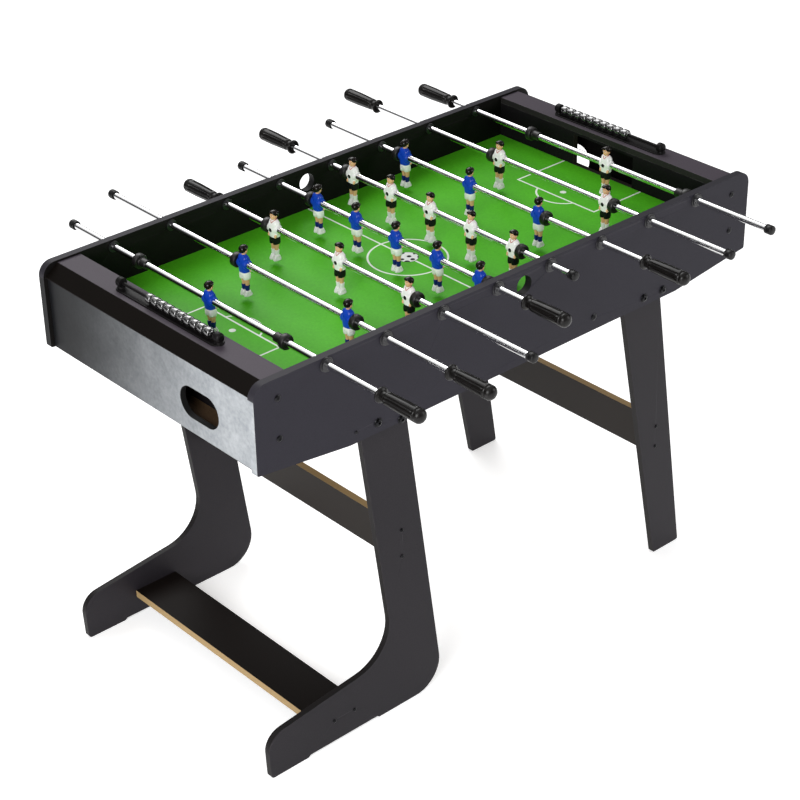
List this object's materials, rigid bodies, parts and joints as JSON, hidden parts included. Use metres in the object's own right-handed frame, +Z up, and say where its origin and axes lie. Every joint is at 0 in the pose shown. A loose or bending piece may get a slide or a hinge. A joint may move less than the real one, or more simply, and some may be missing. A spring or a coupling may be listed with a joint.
{
  "type": "foosball table",
  "caption": "Free-standing foosball table: a board cabinet with sliding, turning player rods, bead score counters, goals with ball boxes, on fold-up J-shaped and straight leg frames.",
  "frame": {"origin": "on the floor, midway along the side panels and midway between them", "axes": "+X along the table from the J-leg end to the straight-leg end, +Y from the front side panel to the back one, +Z up"},
  "size_m": [1.21, 1.111, 0.834],
  "materials": {
    "dark_board": "matte dark grey foil on fibreboard",
    "printed_end_board": "satin mottled silver print on fibreboard",
    "black_board": "matte black",
    "grey_board": "matte warm grey foil",
    "raw_board": "raw fibreboard",
    "green_field": "satin green print with white lines on thin board",
    "bearing_plastic": "matte black",
    "dark_steel": "dark painted steel",
    "counter_plastic": "semi gloss black",
    "chromed_rod": "bright chrome",
    "blue_team": "painted semi gloss, blue shirt",
    "white_team": "painted semi gloss, white shirt",
    "grip_plastic": "matte black",
    "bumper_rubber": "matte black rubber"
  },
  "bodies": {
    "cabinet": {"front_side_panel": "dark_board", "back_side_panel": "dark_board", "left_end_panel": "printed_end_board", "right_end_panel": "printed_end_board", "end_bevel_rails": "black_board", "left_top_ledge": "grey_board", "right_top_ledge": "grey_board", "left_goal_wall": "black_board", "right_goal_wall": "black_board", "playfield": "green_field", "field_battens": "raw_board", "ball_boxes": "raw_board", "rod_bearings": "bearing_plastic", "cabinet_screws": "dark_steel", "score_counter_frames": "counter_plastic", "leg_bolts": "dark_steel", "leg_spacer_blocks": "dark_board"},
    "left_counter": {"left_counter_beads": "counter_plastic"},
    "right_counter": {"right_counter_beads": "counter_plastic"},
    "j_leg_frame": {"front_j_leg": "dark_board", "back_j_leg": "dark_board", "j_leg_foot_stretcher": "dark_board", "j_leg_upper_stretcher": "dark_board", "j_leg_screws": "dark_steel"},
    "straight_leg_frame": {"front_straight_leg": "dark_board", "back_straight_leg": "dark_board", "straight_leg_stretcher": "dark_board", "straight_leg_screws": "dark_steel"},
    "rod_1_slider": {"rod_1_bumpers": "bumper_rubber"},
    "rod_1_spinner": {"rod_1_shaft": "chromed_rod", "rod_1_men": "blue_team", "rod_1_grip_and_cap": "grip_plastic"},
    "rod_2_slider": {"rod_2_bumpers": "bumper_rubber"},
    "rod_2_spinner": {"rod_2_shaft": "chromed_rod", "rod_2_men": "blue_team", "rod_2_grip_and_cap": "grip_plastic"},
    "rod_3_slider": {"rod_3_bumpers": "bumper_rubber"},
    "rod_3_spinner": {"rod_3_shaft": "chromed_rod", "rod_3_men": "white_team", "rod_3_grip_and_cap": "grip_plastic"},
    "rod_4_slider": {"rod_4_bumpers": "bumper_rubber"},
    "rod_4_spinner": {"rod_4_shaft": "chromed_rod", "rod_4_men": "blue_team", "rod_4_grip_and_cap": "grip_plastic"},
    "rod_5_slider": {"rod_5_bumpers": "bumper_rubber"},
    "rod_5_spinner": {"rod_5_shaft": "chromed_rod", "rod_5_men": "white_team", "rod_5_grip_and_cap": "grip_plastic"},
    "rod_6_slider": {"rod_6_bumpers": "bumper_rubber"},
    "rod_6_spinner": {"rod_6_shaft": "chromed_rod", "rod_6_men": "blue_team", "rod_6_grip_and_cap": "grip_plastic"},
    "rod_7_slider": {"rod_7_bumpers": "bumper_rubber"},
    "rod_7_spinner": {"rod_7_shaft": "chromed_rod", "rod_7_men": "white_team", "rod_7_grip_and_cap": "grip_plastic"},
    "rod_8_slider": {"rod_8_bumpers": "bumper_rubber"},
    "rod_8_spinner": {"rod_8_shaft": "chromed_rod", "rod_8_men": "white_team", "rod_8_grip_and_cap": "grip_plastic"}
  },
  "joints": [
    {"name": "rod_1_slide", "type": "slide", "parent": "cabinet", "child": "rod_1_slider", "axis": [0, 1, 0], "range_m": [-0.0808, 0.0708]},
    {"name": "rod_1_spin", "type": "hinge", "parent": "rod_1_slider", "child": "rod_1_spinner", "pos_m": [-0.4529, 0, 0.798], "axis": [0, 1, 0], "continuous": true},
    {"name": "rod_2_slide", "type": "slide", "parent": "cabinet", "child": "rod_2_slider", "axis": [0, 1, 0], "range_m": [-0.0515, 0.1508]},
    {"name": "rod_2_spin", "type": "hinge", "parent": "rod_2_slider", "child": "rod_2_spinner", "pos_m": [-0.3235, 0, 0.798], "axis": [0, 1, 0], "continuous": true},
    {"name": "rod_3_slide", "type": "slide", "parent": "cabinet", "child": "rod_3_slider", "axis": [0, 1, 0], "range_m": [-0.0038, 0.1135]},
    {"name": "rod_3_spin", "type": "hinge", "parent": "rod_3_slider", "child": "rod_3_spinner", "pos_m": [-0.1941, 0, 0.798], "axis": [0, 1, 0], "continuous": true},
    {"name": "rod_4_slide", "type": "slide", "parent": "cabinet", "child": "rod_4_slider", "axis": [0, 1, 0], "range_m": [0, 0.0638]},
    {"name": "rod_4_spin", "type": "hinge", "parent": "rod_4_slider", "child": "rod_4_spinner", "pos_m": [-0.0647, 0, 0.798], "axis": [0, 1, 0], "continuous": true},
    {"name": "rod_5_slide", "type": "slide", "parent": "cabinet", "child": "rod_5_slider", "axis": [0, 1, 0], "range_m": [-0.0485, 0.0345]},
    {"name": "rod_5_spin", "type": "hinge", "parent": "rod_5_slider", "child": "rod_5_spinner", "pos_m": [0.0647, 0, 0.798], "axis": [0, 1, 0], "continuous": true},
    {"name": "rod_6_slide", "type": "slide", "parent": "cabinet", "child": "rod_6_slider", "axis": [0, 1, 0], "range_m": [-0.1145, 0.0405]},
    {"name": "rod_6_spin", "type": "hinge", "parent": "rod_6_slider", "child": "rod_6_spinner", "pos_m": [0.1941, 0, 0.798], "axis": [0, 1, 0], "continuous": true},
    {"name": "rod_7_slide", "type": "slide", "parent": "cabinet", "child": "rod_7_slider", "axis": [0, 1, 0], "range_m": [-0.0655, 0.1735]},
    {"name": "rod_7_spin", "type": "hinge", "parent": "rod_7_slider", "child": "rod_7_spinner", "pos_m": [0.3235, 0, 0.798], "axis": [0, 1, 0], "continuous": true},
    {"name": "rod_8_slide", "type": "slide", "parent": "cabinet", "child": "rod_8_slider", "axis": [0, 1, 0], "range_m": [-0.0003, 0.1513]},
    {"name": "rod_8_spin", "type": "hinge", "parent": "rod_8_slider", "child": "rod_8_spinner", "pos_m": [0.4529, 0, 0.798], "axis": [0, 1, 0], "continuous": true},
    {"name": "left_counter_slide", "type": "slide", "parent": "cabinet", "child": "left_counter", "axis": [0, 1, 0], "range_m": [-0.0088, 0.071]},
    {"name": "right_counter_slide", "type": "slide", "parent": "cabinet", "child": "right_counter", "axis": [0, 1, 0], "range_m": [-0.077, 0.0028]},
    {"name": "j_leg_fold", "type": "hinge", "parent": "cabinet", "child": "j_leg_frame", "pos_m": [-0.345, 0, 0.643], "axis": [0, 1, 0], "range_deg": [0, 90]},
    {"name": "straight_leg_fold", "type": "hinge", "parent": "cabinet", "child": "straight_leg_frame", "pos_m": [0.37, 0, 0.639], "axis": [0, 1, 0], "range_deg": [0, 96]}
  ]
}
